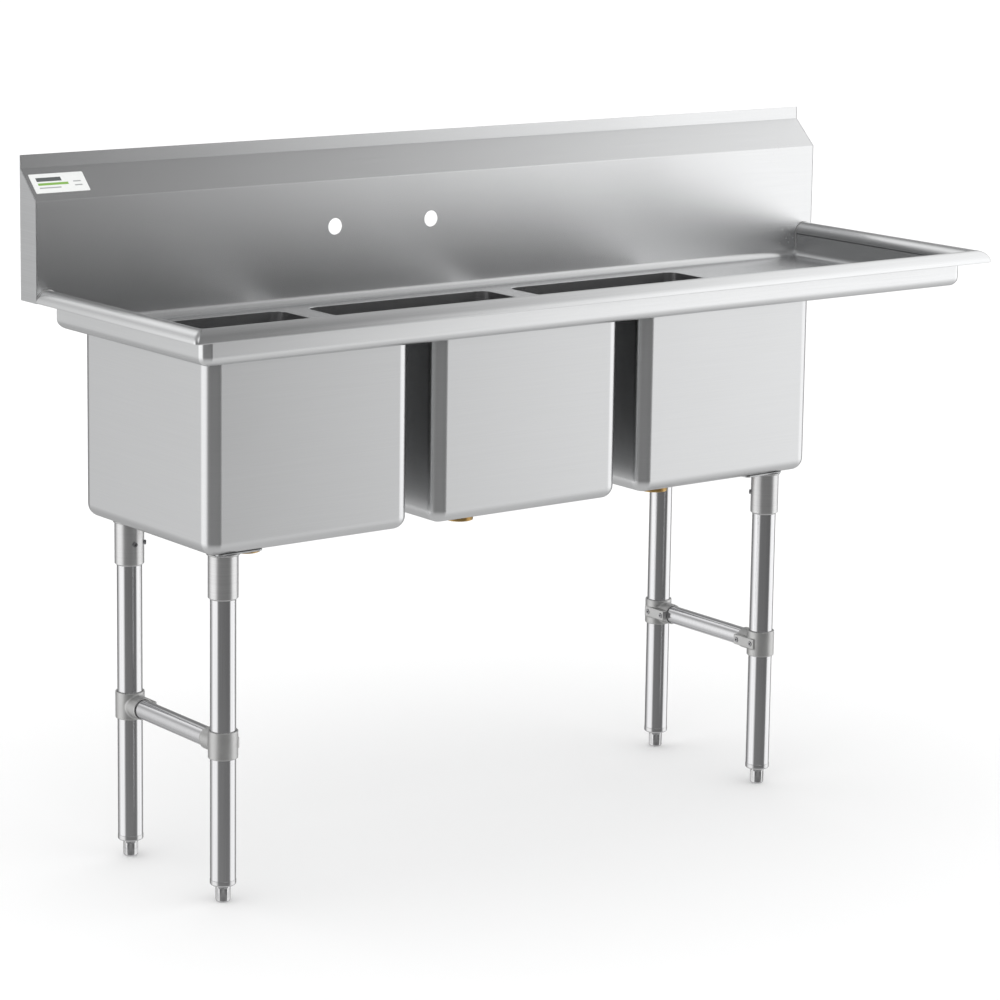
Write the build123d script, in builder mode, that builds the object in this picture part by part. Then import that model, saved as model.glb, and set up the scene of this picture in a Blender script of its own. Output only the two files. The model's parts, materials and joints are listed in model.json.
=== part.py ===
from build123d import *

import os
from math import atan2, cos, degrees, radians, sin, tan

# Three compartment sink with a drainboard on the right, for a restaurant kitchen.
#
# Frame: origin on the floor under the middle of the sink, +X along the length towards the
# drainboard end, -Y towards the user, +Y towards the wall, +Z up. Millimetres.

INCH = 25.4

# Overall size
LENGTH = 66.5 * INCH
DEPTH = 21.0 * INCH
HEIGHT = 45.5 * INCH
RIM_TOP = 37.0 * INCH
SHEET = 1.5  # 16 gauge stainless sheet

LEFT = -LENGTH / 2
RIGHT = LENGTH / 2
FRONT = -DEPTH / 2
REAR = DEPTH / 2

# Rolled rim: a half round roll that stands outside the tray's walls
ROLL_RADIUS = 19.8
ROLL_Z = RIM_TOP - ROLL_RADIUS
LIP_Z = ROLL_Z - 1.5  # the roll ends just below its middle
ROLL_WIDTH = 2 * ROLL_RADIUS

# Tray (deck and drainboard), outer faces of its sheet
DECK_TOP = 34.5 * INCH
TRAY_LEFT = LEFT + ROLL_WIDTH - SHEET
TRAY_RIGHT = RIGHT - ROLL_WIDTH + SHEET
TRAY_FRONT = FRONT + ROLL_WIDTH - SHEET
TRAY_CORNER = 16.5
TRAY_COVE = 16.0

# Backsplash
SPLASH_THICKNESS = 2.0 * INCH
FACE_Y = REAR - SPLASH_THICKNESS
BEND_Z = 1085.0
SLOPE_TOP = 1133.0
BEND_RADIUS = 2.5
SLOPE_ANGLE = degrees(atan2(SLOPE_TOP - BEND_Z, SPLASH_THICKNESS - SHEET))
FACE_LIFT = SHEET * tan(radians(90 - SLOPE_ANGLE) / 2)  # front bends sit this much above the rear ones
TAP_CENTRES = 8.0 * INCH
TAP_HOLE = 1.125 * INCH
TAP_Z = 1005.5

# Bowls: 15 in square and 12 in deep, 2 in apart
BOWL = 15.0 * INCH
BOWL_GAP = 2.0 * INCH
BOWL_DEPTH = 12.0 * INCH
BOWL_CORNER = 22.5  # inside
BOWL_COVE = 20.5  # inside
LIP_ROUND = 0.9  # inner edge at the deck
BOWL_LEFT_BORDER = 2.5 * INCH
BOWL_REAR_BORDER = 3.5 * INCH
BOWL_PITCH = BOWL + BOWL_GAP
BOWL_X = [LEFT + BOWL_LEFT_BORDER + BOWL / 2 + i * BOWL_PITCH for i in range(3)]
BOWL_Y = REAR - BOWL_REAR_BORDER - BOWL / 2
BOWL_FLOOR = DECK_TOP - BOWL_DEPTH
BOWL_UNDER = BOWL_FLOOR - SHEET
BOWL_NAMES = ("left", "centre", "right")

# Drain in the middle of each bowl, for a 3 1/2 in basket strainer
DISH_DROP = 4.0
DISH_RADIUS = 59.5
DISH_FLAT = 54.0
DRAIN_HOLE = 45.0
DISH_UNDER = BOWL_UNDER - DISH_DROP
DRAIN_SHEET = 1.6
FLANGE_RADIUS = 53.0
FLANGE_TOP = BOWL_FLOOR - DISH_DROP + DRAIN_SHEET
FLANGE_BEVEL = 1.0
CUP_RADIUS = 43.5
CUP_DEPTH = 30.0
CUP_DRAFT = 1.0
CUP_FLOOR = FLANGE_TOP - CUP_DEPTH
CUP_FALL = 6.0  # slope of the cup's floor down to the neck
NECK_RADIUS = 0.75 * INCH
NECK_END = 526.0
OUTLET_RADIUS = 1.9 * INCH / 2  # outside of 1 1/2 in pipe thread
OUTLET_BORE = NECK_RADIUS + 0.1
OUTLET_TOP = CUP_FLOOR - 8.5
OUTLET_END = 522.0
OUTLET_CHAMFER = 1.0
GASKET_RADIUS = 56.0
GASKET_HOLE = 46.0
GASKET_THICKNESS = 3.0
NUT_TOP = DISH_UNDER - GASKET_THICKNESS
NUT_HEIGHT = 9.0
NUT_RADIUS = 53.0
NUT_HOLE = 45.5
NUT_LUGS = 6
LUG_REACH = 8.0
LUG_WIDTH = 12.0

# Lift-out basket with its stopper
BASKET_WALL = 1.2
BASKET_BASE = CUP_FLOOR + 8.0
BASKET_BASE_RADIUS = 32.0
BASKET_NECK_RADIUS = 39.0
BASKET_NECK_DROP = 4.0
BASKET_RIM_RADIUS = 47.0
BASKET_TOP = FLANGE_TOP + 0.3  # the rim rests on the strainer's flange
BASKET_HOLE = 2.2
BASKET_HOLE_RINGS = ((12.0, 8), (20.0, 12), (27.0, 16))  # ring radius and number of holes
POST_RADIUS = 3.0
KNOB_RADIUS = 8.0
KNOB_BOTTOM = BASKET_TOP + 3.0
KNOB_TOP = BASKET_TOP + 10.0
KNOB_BEVEL = 2.0
STOPPER_RADIUS = 24.0
STOPPER_TOP = BASKET_BASE - 1.0
STOPPER_BOTTOM = BASKET_BASE - 6.0
STOPPER_SLOPE = 1.5  # the lip is thinner than the middle
STOPPER_HUB = 5.0

# Legs: 1 5/8 in tube in set screw sockets, with a brace from front to back at each end
TUBE_RADIUS = 1.625 * INCH / 2
TUBE_WALL = 1.5
LEG_X = {"left": -733.0, "right": 398.0}
LEG_Y = {"front": -168.0, "rear": 115.0}
LEG_BOTTOM = 37.0
LEG_TOP = 560.0
PLATE_OUT = 22.0  # reach of a leg's plate beyond its axis, outwards and inwards
PLATE_IN = 62.0
PLATE_THICKNESS = 3.0
PLATE_CORNER = 8.0
SOCKET_RADIUS = 24.2
SOCKET_BORE = TUBE_RADIUS + 0.15
SOCKET_BOTTOM = 494.0
SOCKET_END = LEG_TOP + 1.0  # top of the bore for the tube
SCREW_Z = 531.0
SCREW_RADIUS = 4.0
TEE_Z = 258.5
TEE_HEIGHT = 45.0
TEE_RADIUS = 24.0
STUB_RADIUS = 18.4
STUB_LENGTH = 43.0
BRACE_RADIUS = 1.25 * INCH / 2
BRACE_WALL = 1.5
BRACE_BORE = BRACE_RADIUS + 0.15
BRACE_SEAT = 27.0  # from the leg's axis to the end of the brace tube

# Foot inserts and adjustable bullet feet
STUD_RADIUS = 7.9
STUD_BORE = 8.0
STUD_TOP = 67.5
STUD_CHAMFER = 1.5
INSERT_BOTTOM = 28.0
INSERT_TOP = 72.0
INSERT_RADIUS = TUBE_RADIUS - TUBE_WALL - 0.1
INSERT_LIP = TUBE_RADIUS + 0.4
INSERT_ROUND = 3.0
FOOT_RADIUS = 12.2
FOOT_TOE = 8.5
FOOT_TOE_HEIGHT = 2.5
FOOT_TAPER_TOP = 9.0
FOOT_TOP = 27.6  # 0.4 below the insert when screwed right in
FOOT_BEVEL = 1.2


os.makedirs("parts", exist_ok=True)

# ---------------------------------------------------------------- deck and backsplash
# One formed sheet: a coved tray with the bowl openings, whose rear wall rises into the
# backsplash, leans back to the wall and ends in an upright strip.
with BuildPart() as deck:
    with BuildSketch(Plane.XY.offset(DECK_TOP - SHEET)) as tray_plan:
        with Locations(((TRAY_LEFT + TRAY_RIGHT) / 2, (TRAY_FRONT + FACE_Y + SHEET) / 2)):
            Rectangle(TRAY_RIGHT - TRAY_LEFT, FACE_Y + SHEET - TRAY_FRONT)
        fillet(tray_plan.vertices().group_by(Axis.Y)[0], TRAY_CORNER)
    extrude(amount=ROLL_Z - DECK_TOP + SHEET)
    fillet(deck.faces().sort_by(Axis.Z)[0].edges(), TRAY_COVE)
    offset(amount=-SHEET, openings=deck.faces().sort_by(Axis.Z)[-1])
    # the backsplash over the full length
    with BuildSketch(Plane.YZ.offset(LEFT + SHEET)):
        with BuildLine() as splash_line:
            Polyline(
                (FACE_Y + SHEET, LIP_Z),
                (FACE_Y + SHEET, BEND_Z),
                (REAR, SLOPE_TOP),
                (REAR, HEIGHT),
            )
            fillet(splash_line.vertices().sort_by(Axis.Y)[1:3], BEND_RADIUS)
            offset(amount=SHEET, side=Side.LEFT)
        make_face()
    extrude(amount=LENGTH - 2 * SHEET)
    # bowl openings
    with BuildSketch(Plane.XY.offset(DECK_TOP - 2 * SHEET)) as openings:
        with Locations(*[(x, BOWL_Y) for x in BOWL_X]):
            RectangleRounded(BOWL + 2 * SHEET, BOWL + 2 * SHEET, BOWL_CORNER + SHEET)
    extrude(amount=3 * SHEET, mode=Mode.SUBTRACT)
    # tap holes, centred on the middle bowl
    with BuildSketch(Plane.XZ.offset(-FACE_Y - 2 * SHEET)):
        with Locations((BOWL_X[1] - TAP_CENTRES / 2, TAP_Z), (BOWL_X[1] + TAP_CENTRES / 2, TAP_Z)):
            Circle(TAP_HOLE / 2)
    extrude(amount=4 * SHEET, mode=Mode.SUBTRACT)
deck.part.label = "deck_and_backsplash"
export_step(deck.part, "parts/deck_and_backsplash.step")

# ---------------------------------------------------------------- rolled rim
# A half round roll round the front and both ends, mitred at the front corners.
with BuildPart() as rolled_rim:
    with BuildLine() as rim_path:
        Polyline(
            (LEFT + ROLL_RADIUS, FACE_Y, ROLL_Z),
            (LEFT + ROLL_RADIUS, FRONT + ROLL_RADIUS, ROLL_Z),
            (RIGHT - ROLL_RADIUS, FRONT + ROLL_RADIUS, ROLL_Z),
            (RIGHT - ROLL_RADIUS, FACE_Y, ROLL_Z),
        )
    with BuildSketch(Plane(origin=rim_path.line @ 0, x_dir=(1, 0, 0), z_dir=(0, -1, 0))):
        Circle(ROLL_RADIUS)
        Circle(ROLL_RADIUS - SHEET, mode=Mode.SUBTRACT)
        Rectangle(2 * ROLL_RADIUS, ROLL_RADIUS, align=(Align.CENTER, Align.MAX), mode=Mode.SUBTRACT)
        with Locations((-ROLL_RADIUS, 0)):
            Rectangle(SHEET, ROLL_Z - LIP_Z, align=(Align.MIN, Align.MAX))
    sweep(path=rim_path.line, transition=Transition.RIGHT)
rolled_rim.part.label = "rolled_rim"
export_step(rolled_rim.part, "parts/rolled_rim.step")

# ---------------------------------------------------------------- backsplash end caps
for side, x in (("left", LEFT), ("right", RIGHT - SHEET)):
    with BuildPart() as end_cap:
        with BuildSketch(Plane.YZ.offset(x)):
            with BuildLine():
                Polyline(
                    (REAR, LIP_Z),
                    (FACE_Y, LIP_Z),
                    (FACE_Y, BEND_Z + FACE_LIFT),
                    (REAR - SHEET, SLOPE_TOP + FACE_LIFT),
                    (REAR - SHEET, HEIGHT),
                    (REAR, HEIGHT),
                    close=True,
                )
            make_face()
        extrude(amount=SHEET)
    end_cap.part.label = f"end_cap_{side}"
    export_step(end_cap.part, f"parts/end_cap_{side}.step")

# ---------------------------------------------------------------- rating label
# A plain plate on the slope at the left end.
LABEL_LENGTH = 100.0
LABEL_HEIGHT = 40.0
LABEL_THICKNESS = 0.4
LABEL_INSET = 8.5
LABEL_CORNER = 2.0
slope_normal = Vector(0, -sin(radians(SLOPE_ANGLE)), cos(radians(SLOPE_ANGLE)))
slope_middle = Vector(
    LEFT + LABEL_INSET + LABEL_LENGTH / 2, (FACE_Y + SHEET + REAR) / 2, (BEND_Z + SLOPE_TOP) / 2
)
label_plane = Plane(origin=slope_middle + slope_normal * SHEET, x_dir=(1, 0, 0), z_dir=slope_normal)
with BuildPart() as rating_label:
    with BuildSketch(label_plane):
        RectangleRounded(LABEL_LENGTH, LABEL_HEIGHT, LABEL_CORNER)
    extrude(amount=LABEL_THICKNESS)
rating_label.part.label = "rating_label"
export_step(rating_label.part, "parts/rating_label.step")

# ---------------------------------------------------------------- drainboard stiffener
# A hat channel welded under the drainboard, from the last bowl to the end wall.
CHANNEL_WIDTH = 60.0
CHANNEL_HEIGHT = 16.0
CHANNEL_FLANGE = 15.0
CHANNEL_TAPER = 4.0
CHANNEL_MARGIN = 20.0
CHANNEL_START = BOWL_X[2] + BOWL / 2 + CHANNEL_MARGIN
CHANNEL_END = TRAY_RIGHT - CHANNEL_MARGIN
CHANNEL_BOTTOM = DECK_TOP - SHEET - CHANNEL_HEIGHT
with BuildPart() as drainboard_channel:
    with BuildSketch(Plane.YZ.offset(CHANNEL_START)):
        with BuildLine() as hat:
            Polyline(
                (BOWL_Y - CHANNEL_WIDTH / 2 - CHANNEL_FLANGE, DECK_TOP - SHEET),
                (BOWL_Y - CHANNEL_WIDTH / 2, DECK_TOP - SHEET),
                (BOWL_Y - CHANNEL_WIDTH / 2 + CHANNEL_TAPER, CHANNEL_BOTTOM),
                (BOWL_Y + CHANNEL_WIDTH / 2 - CHANNEL_TAPER, CHANNEL_BOTTOM),
                (BOWL_Y + CHANNEL_WIDTH / 2, DECK_TOP - SHEET),
                (BOWL_Y + CHANNEL_WIDTH / 2 + CHANNEL_FLANGE, DECK_TOP - SHEET),
            )
            offset(amount=SHEET, side=Side.RIGHT)
        make_face()
    extrude(amount=CHANNEL_END - CHANNEL_START)
drainboard_channel.part.label = "drainboard_channel"
export_step(drainboard_channel.part, "parts/drainboard_channel.step")

# ---------------------------------------------------------------- bowls
for name, bowl_x in zip(BOWL_NAMES, BOWL_X):
    # a deep bowl with coved corners and a dished seat for the drain
    with BuildPart() as bowl:
        with BuildSketch(Plane.XY.offset(BOWL_UNDER)):
            with Locations((bowl_x, BOWL_Y)):
                RectangleRounded(BOWL + 2 * SHEET, BOWL + 2 * SHEET, BOWL_CORNER + SHEET)
        extrude(amount=DECK_TOP - BOWL_UNDER)
        fillet(bowl.faces().sort_by(Axis.Z)[0].edges(), BOWL_COVE + SHEET)
        offset(amount=-SHEET, openings=bowl.faces().sort_by(Axis.Z)[-1])
        with BuildSketch(Plane.XY.offset(BOWL_UNDER)):
            with Locations((bowl_x, BOWL_Y)):
                Circle(DISH_RADIUS)
        extrude(amount=SHEET, mode=Mode.SUBTRACT)
        with BuildSketch(Plane(origin=(bowl_x, BOWL_Y, 0), x_dir=(1, 0, 0), z_dir=(0, -1, 0))):
            with BuildLine():
                Polyline(
                    (DRAIN_HOLE, BOWL_FLOOR - DISH_DROP),
                    (DISH_FLAT, BOWL_FLOOR - DISH_DROP),
                    (DISH_RADIUS, BOWL_FLOOR),
                    (DISH_RADIUS, BOWL_UNDER),
                    (DISH_FLAT, BOWL_UNDER - DISH_DROP),
                    (DRAIN_HOLE, BOWL_UNDER - DISH_DROP),
                    close=True,
                )
            make_face()
        revolve(axis=Axis((bowl_x, BOWL_Y, 0), (0, 0, 1)))
        fillet(bowl.faces().sort_by(Axis.Z)[-1].inner_wires()[0].edges(), LIP_ROUND)
    bowl.part.label = f"bowl_{name}"
    export_step(bowl.part, f"parts/bowl_{name}.step")

# ---------------------------------------------------------------- drains and strainers
for name, bowl_x in zip(BOWL_NAMES, BOWL_X):
    drain_axis = Axis((bowl_x, BOWL_Y, 0), (0, 0, 1))
    radial = Plane(origin=(bowl_x, BOWL_Y, 0), x_dir=(1, 0, 0), z_dir=(0, -1, 0))

    # strainer body: flange in the dish, cup through the bowl, cone to the outlet
    with BuildPart() as drain_body:
        with BuildSketch(radial):
            with BuildLine():
                Polyline(
                    (FLANGE_RADIUS, FLANGE_TOP - DRAIN_SHEET),
                    (FLANGE_RADIUS - FLANGE_BEVEL, FLANGE_TOP),
                    (CUP_RADIUS, FLANGE_TOP),
                    (CUP_RADIUS - CUP_DRAFT, CUP_FLOOR),
                    (NECK_RADIUS - DRAIN_SHEET, CUP_FLOOR - CUP_FALL),
                    (NECK_RADIUS - DRAIN_SHEET, NECK_END),
                    (NECK_RADIUS, NECK_END),
                    (NECK_RADIUS, CUP_FLOOR - CUP_FALL - DRAIN_SHEET),
                    (CUP_RADIUS - CUP_DRAFT + DRAIN_SHEET, CUP_FLOOR - DRAIN_SHEET),
                    (DRAIN_HOLE, FLANGE_TOP - DRAIN_SHEET),
                    close=True,
                )
            make_face()
        revolve(axis=drain_axis)
    drain_body.part.label = f"drain_body_{name}"
    export_step(drain_body.part, f"parts/drain_body_{name}.step")

    # rubber washer between the bowl and the lock nut
    with BuildPart() as gasket:
        with BuildSketch(Plane.XY.offset(NUT_TOP)):
            with Locations((bowl_x, BOWL_Y)):
                Circle(GASKET_RADIUS)
                Circle(GASKET_HOLE, mode=Mode.SUBTRACT)
        extrude(amount=GASKET_THICKNESS)
    gasket.part.label = f"drain_gasket_{name}"
    export_step(gasket.part, f"parts/drain_gasket_{name}.step")

    # lock nut with lugs for a spanner
    with BuildPart() as lock_nut:
        with BuildSketch(Plane.XY.offset(NUT_TOP - NUT_HEIGHT)):
            with Locations((bowl_x, BOWL_Y)):
                Circle(NUT_RADIUS)
                with PolarLocations(NUT_RADIUS, NUT_LUGS):
                    Rectangle(LUG_REACH, LUG_WIDTH)
                Circle(NUT_HOLE, mode=Mode.SUBTRACT)
        extrude(amount=NUT_HEIGHT)
    lock_nut.part.label = f"drain_lock_nut_{name}"
    export_step(lock_nut.part, f"parts/drain_lock_nut_{name}.step")

    # brass outlet with pipe thread, screwed over the neck
    with BuildPart() as outlet:
        with BuildSketch(Plane.XY.offset(OUTLET_END)):
            with Locations((bowl_x, BOWL_Y)):
                Circle(OUTLET_RADIUS)
        extrude(amount=OUTLET_TOP - OUTLET_END)
        chamfer(outlet.faces().sort_by(Axis.Z)[0].edges(), OUTLET_CHAMFER)
        with BuildSketch(Plane.XY.offset(OUTLET_END)):
            with Locations((bowl_x, BOWL_Y)):
                Circle(OUTLET_BORE)
        extrude(amount=OUTLET_TOP - OUTLET_END, mode=Mode.SUBTRACT)
    outlet.part.label = f"drain_outlet_{name}"
    export_step(outlet.part, f"parts/drain_outlet_{name}.step")

    # lift-out basket: perforated cup with a rim, centre post and knob
    with BuildPart() as basket:
        with BuildSketch(radial):
            with BuildLine():
                Polyline(
                    (0, BASKET_BASE),
                    (BASKET_BASE_RADIUS, BASKET_BASE),
                    (BASKET_NECK_RADIUS, BASKET_TOP - BASKET_NECK_DROP),
                    (BASKET_NECK_RADIUS, BASKET_TOP),
                    (BASKET_RIM_RADIUS, BASKET_TOP),
                    (BASKET_RIM_RADIUS, BASKET_TOP + BASKET_WALL),
                    (BASKET_NECK_RADIUS - BASKET_WALL, BASKET_TOP + BASKET_WALL),
                    (BASKET_NECK_RADIUS - BASKET_WALL, BASKET_TOP - BASKET_NECK_DROP),
                    (BASKET_BASE_RADIUS - BASKET_WALL, BASKET_BASE + BASKET_WALL),
                    (POST_RADIUS, BASKET_BASE + BASKET_WALL),
                    (POST_RADIUS, BASKET_TOP),
                    (KNOB_RADIUS, KNOB_BOTTOM),
                    (KNOB_RADIUS, KNOB_TOP - KNOB_BEVEL),
                    (KNOB_RADIUS - KNOB_BEVEL, KNOB_TOP),
                    (0, KNOB_TOP),
                    close=True,
                )
            make_face()
        revolve(axis=drain_axis)
        with BuildSketch(Plane.XY.offset(BASKET_BASE)):
            with Locations((bowl_x, BOWL_Y)):
                for ring, count in BASKET_HOLE_RINGS:
                    with PolarLocations(ring, count):
                        Circle(BASKET_HOLE)
        extrude(amount=BASKET_WALL, mode=Mode.SUBTRACT)
    basket.part.label = f"basket_strainer_{name}"
    export_step(basket.part, f"parts/basket_strainer_{name}.step")

    # rubber stopper under the basket
    with BuildPart() as stopper:
        with BuildSketch(radial):
            with BuildLine():
                Polyline(
                    (0, STOPPER_TOP),
                    (STOPPER_RADIUS, STOPPER_TOP - STOPPER_SLOPE),
                    (STOPPER_RADIUS, STOPPER_BOTTOM + STOPPER_SLOPE),
                    (0, STOPPER_BOTTOM),
                    close=True,
                )
            make_face()
        revolve(axis=drain_axis)
        with BuildSketch(Plane.XY.offset(STOPPER_TOP - STOPPER_SLOPE)):
            with Locations((bowl_x, BOWL_Y)):
                Circle(STOPPER_HUB)
        extrude(amount=BASKET_BASE - STOPPER_TOP + STOPPER_SLOPE)
    stopper.part.label = f"basket_stopper_{name}"
    export_step(stopper.part, f"parts/basket_stopper_{name}.step")

# ---------------------------------------------------------------- legs
FRONT_REAR = {"front": 1, "rear": -1}  # the way along Y from a leg to its mate
INWARD = {"left": 1, "right": -1}  # the way along X from a leg towards the middle
SCREW_SPREAD = 30.0  # degrees either side of the middle of the two socket screws
SCREW_TURN = 20.0  # degrees from the brace's direction to that middle
SCREW_HEAD = 3.0
SCREW_HEX = 2.0
SOCKET_CHAMFER = 2.5
TEE_BLEND = 3.5
PAD_FACE = 25.5  # from the leg's axis to the face of the pad with the two screws
PAD_BACK = 9.0
PAD_HEIGHT = 18.0
TEE_SCREW_RADIUS = 4.0
TEE_SCREW_OUT = 0.8
BRACE_SCREW = 36.0  # from the leg's axis to the screw that clamps the brace


def screw_angles(side, end):
    """Directions in degrees of the two set screws of a leg's socket."""
    middle = 90.0 * FRONT_REAR[end] - SCREW_TURN * FRONT_REAR[end] * INWARD[side]
    return middle - SCREW_SPREAD, middle + SCREW_SPREAD


def screw_plane(x, y, z, angle, distance):
    """Plane at a distance from a vertical axis, facing outwards in the direction of angle."""
    outward = Vector(cos(radians(angle)), sin(radians(angle)), 0)
    return Plane(origin=Vector(x, y, z) + outward * distance, x_dir=(0, 0, 1), z_dir=outward)


def tee_screw_plane(x, y, inward, distance):
    """Plane across a tee's screw, at a distance from the legs' plane, facing the middle."""
    return Plane(origin=(x + inward * distance, y, TEE_Z), x_dir=(0, 0, 1), z_dir=(inward, 0, 0))


LEGS = [(side, end, LEG_X[side], LEG_Y[end]) for side in LEG_X for end in LEG_Y]

for side, end, x, y in LEGS:
    place = f"{side}_{end}"

    # plate welded under the bowl, which carries the socket
    shift = (PLATE_IN - PLATE_OUT) / 2
    with BuildPart() as leg_plate:
        with BuildSketch(Plane.XY.offset(BOWL_UNDER - PLATE_THICKNESS)):
            with Locations((x + INWARD[side] * shift, y + FRONT_REAR[end] * shift)):
                RectangleRounded(PLATE_IN + PLATE_OUT, PLATE_IN + PLATE_OUT, PLATE_CORNER)
        extrude(amount=PLATE_THICKNESS)
    leg_plate.part.label = f"leg_plate_{place}"
    export_step(leg_plate.part, f"parts/leg_plate_{place}.step")

    # socket with two tapped screw holes
    with BuildPart() as socket:
        with BuildSketch(Plane.XY.offset(SOCKET_BOTTOM)):
            with Locations((x, y)):
                Circle(SOCKET_RADIUS)
        extrude(amount=BOWL_UNDER - PLATE_THICKNESS - SOCKET_BOTTOM)
        chamfer(socket.faces().sort_by(Axis.Z)[0].edges(), SOCKET_CHAMFER)
        with BuildSketch(Plane.XY.offset(SOCKET_BOTTOM)):
            with Locations((x, y)):
                Circle(SOCKET_BORE)
        extrude(amount=SOCKET_END - SOCKET_BOTTOM, mode=Mode.SUBTRACT)
        for angle in screw_angles(side, end):
            with BuildSketch(screw_plane(x, y, SCREW_Z, angle, TUBE_RADIUS)):
                Circle(SCREW_RADIUS)
            extrude(amount=SOCKET_RADIUS, mode=Mode.SUBTRACT)
    socket.part.label = f"leg_socket_{place}"
    export_step(socket.part, f"parts/leg_socket_{place}.step")

    # leg tube
    with BuildPart() as leg:
        with BuildSketch(Plane.XY.offset(LEG_BOTTOM)):
            with Locations((x, y)):
                Circle(TUBE_RADIUS)
                Circle(TUBE_RADIUS - TUBE_WALL, mode=Mode.SUBTRACT)
        extrude(amount=LEG_TOP - LEG_BOTTOM)
    leg.part.label = f"leg_{place}"
    export_step(leg.part, f"parts/leg_{place}.step")

    # cast tee that clamps the brace to the leg
    mate = FRONT_REAR[end]
    inward = INWARD[side]
    with BuildPart() as tee:
        with BuildSketch(Plane.XY.offset(TEE_Z - TEE_HEIGHT / 2)):
            with Locations((x, y)):
                Circle(TEE_RADIUS)
        extrude(amount=TEE_HEIGHT)
        with BuildSketch(Plane(origin=(x, y, TEE_Z), x_dir=(1, 0, 0), z_dir=(0, mate, 0))):
            Circle(STUB_RADIUS)
        extrude(amount=STUB_LENGTH)
        fillet(tee.edges().filter_by(GeomType.BSPLINE), TEE_BLEND)
        with BuildSketch(Plane.XY.offset(TEE_Z - PAD_HEIGHT / 2)):
            with Locations((x + inward * PAD_FACE / 2, y + mate * (STUB_LENGTH - PAD_BACK) / 2)):
                Rectangle(PAD_FACE, STUB_LENGTH + PAD_BACK)
        extrude(amount=PAD_HEIGHT)
        with BuildSketch(Plane.XY.offset(TEE_Z - TEE_HEIGHT / 2)):
            with Locations((x, y)):
                Circle(SOCKET_BORE)
        extrude(amount=TEE_HEIGHT, mode=Mode.SUBTRACT)
        brace_plane = Plane(origin=(x, y + mate * BRACE_SEAT, TEE_Z), x_dir=(1, 0, 0), z_dir=(0, mate, 0))
        with BuildSketch(brace_plane):
            Circle(BRACE_BORE)
        extrude(amount=STUB_LENGTH - BRACE_SEAT, mode=Mode.SUBTRACT)
        for along, start in ((0, TUBE_RADIUS), (mate * BRACE_SCREW, BRACE_RADIUS)):
            with BuildSketch(tee_screw_plane(x, y + along, inward, start)):
                Circle(TEE_SCREW_RADIUS)
            extrude(amount=PAD_FACE - start, mode=Mode.SUBTRACT)
    tee.part.label = f"brace_tee_{place}"
    export_step(tee.part, f"parts/brace_tee_{place}.step")

    # threaded insert that closes the leg's lower end
    with BuildPart() as insert:
        with BuildSketch(Plane.XY.offset(INSERT_BOTTOM)):
            with Locations((x, y)):
                Circle(INSERT_LIP)
        extrude(amount=LEG_BOTTOM - INSERT_BOTTOM)
        fillet(insert.faces().sort_by(Axis.Z)[0].edges(), INSERT_ROUND)
        with BuildSketch(Plane.XY.offset(LEG_BOTTOM)):
            with Locations((x, y)):
                Circle(INSERT_RADIUS)
        extrude(amount=INSERT_TOP - LEG_BOTTOM)
        with BuildSketch(Plane.XY.offset(INSERT_BOTTOM)):
            with Locations((x, y)):
                Circle(STUD_BORE)
        extrude(amount=INSERT_TOP - INSERT_BOTTOM, mode=Mode.SUBTRACT)
    insert.part.label = f"foot_insert_{place}"
    export_step(insert.part, f"parts/foot_insert_{place}.step")

    # bullet foot on its threaded stud
    with BuildPart() as foot:
        with BuildSketch(Plane(origin=(x, y, 0), x_dir=(1, 0, 0), z_dir=(0, -1, 0))):
            with BuildLine():
                Polyline(
                    (0, 0),
                    (FOOT_TOE, 0),
                    (FOOT_RADIUS - FOOT_BEVEL, FOOT_TOE_HEIGHT),
                    (FOOT_RADIUS, FOOT_TAPER_TOP),
                    (FOOT_RADIUS, FOOT_TOP - FOOT_BEVEL),
                    (FOOT_RADIUS - FOOT_BEVEL, FOOT_TOP),
                    (STUD_RADIUS, FOOT_TOP),
                    (STUD_RADIUS, STUD_TOP - STUD_CHAMFER),
                    (STUD_RADIUS - STUD_CHAMFER, STUD_TOP),
                    (0, STUD_TOP),
                    close=True,
                )
            make_face()
        revolve(axis=Axis((x, y, 0), (0, 0, 1)))
    foot.part.label = f"bullet_foot_{place}"
    export_step(foot.part, f"parts/bullet_foot_{place}.step")

# ---------------------------------------------------------------- braces
for side, x in LEG_X.items():
    brace_start = LEG_Y["front"] + BRACE_SEAT
    brace_end = LEG_Y["rear"] - BRACE_SEAT
    with BuildPart() as brace:
        with BuildSketch(Plane(origin=(x, brace_start, TEE_Z), x_dir=(1, 0, 0), z_dir=(0, 1, 0))):
            Circle(BRACE_RADIUS)
            Circle(BRACE_RADIUS - BRACE_WALL, mode=Mode.SUBTRACT)
        extrude(amount=brace_end - brace_start)
    brace.part.label = f"brace_{side}"
    export_step(brace.part, f"parts/brace_{side}.step")

# ---------------------------------------------------------------- set screws
with BuildPart() as socket_screws:
    for side, end, x, y in LEGS:
        for angle in screw_angles(side, end):
            with BuildSketch(screw_plane(x, y, SCREW_Z, angle, TUBE_RADIUS)):
                Circle(SCREW_RADIUS)
            extrude(amount=SOCKET_RADIUS - TUBE_RADIUS + SCREW_HEAD)
            with BuildSketch(screw_plane(x, y, SCREW_Z, angle, SOCKET_RADIUS)):
                RegularPolygon(SCREW_HEX, 6)
            extrude(amount=SCREW_HEAD, mode=Mode.SUBTRACT)
socket_screws.part.label = "socket_set_screws"
export_step(socket_screws.part, "parts/socket_set_screws.step")

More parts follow.
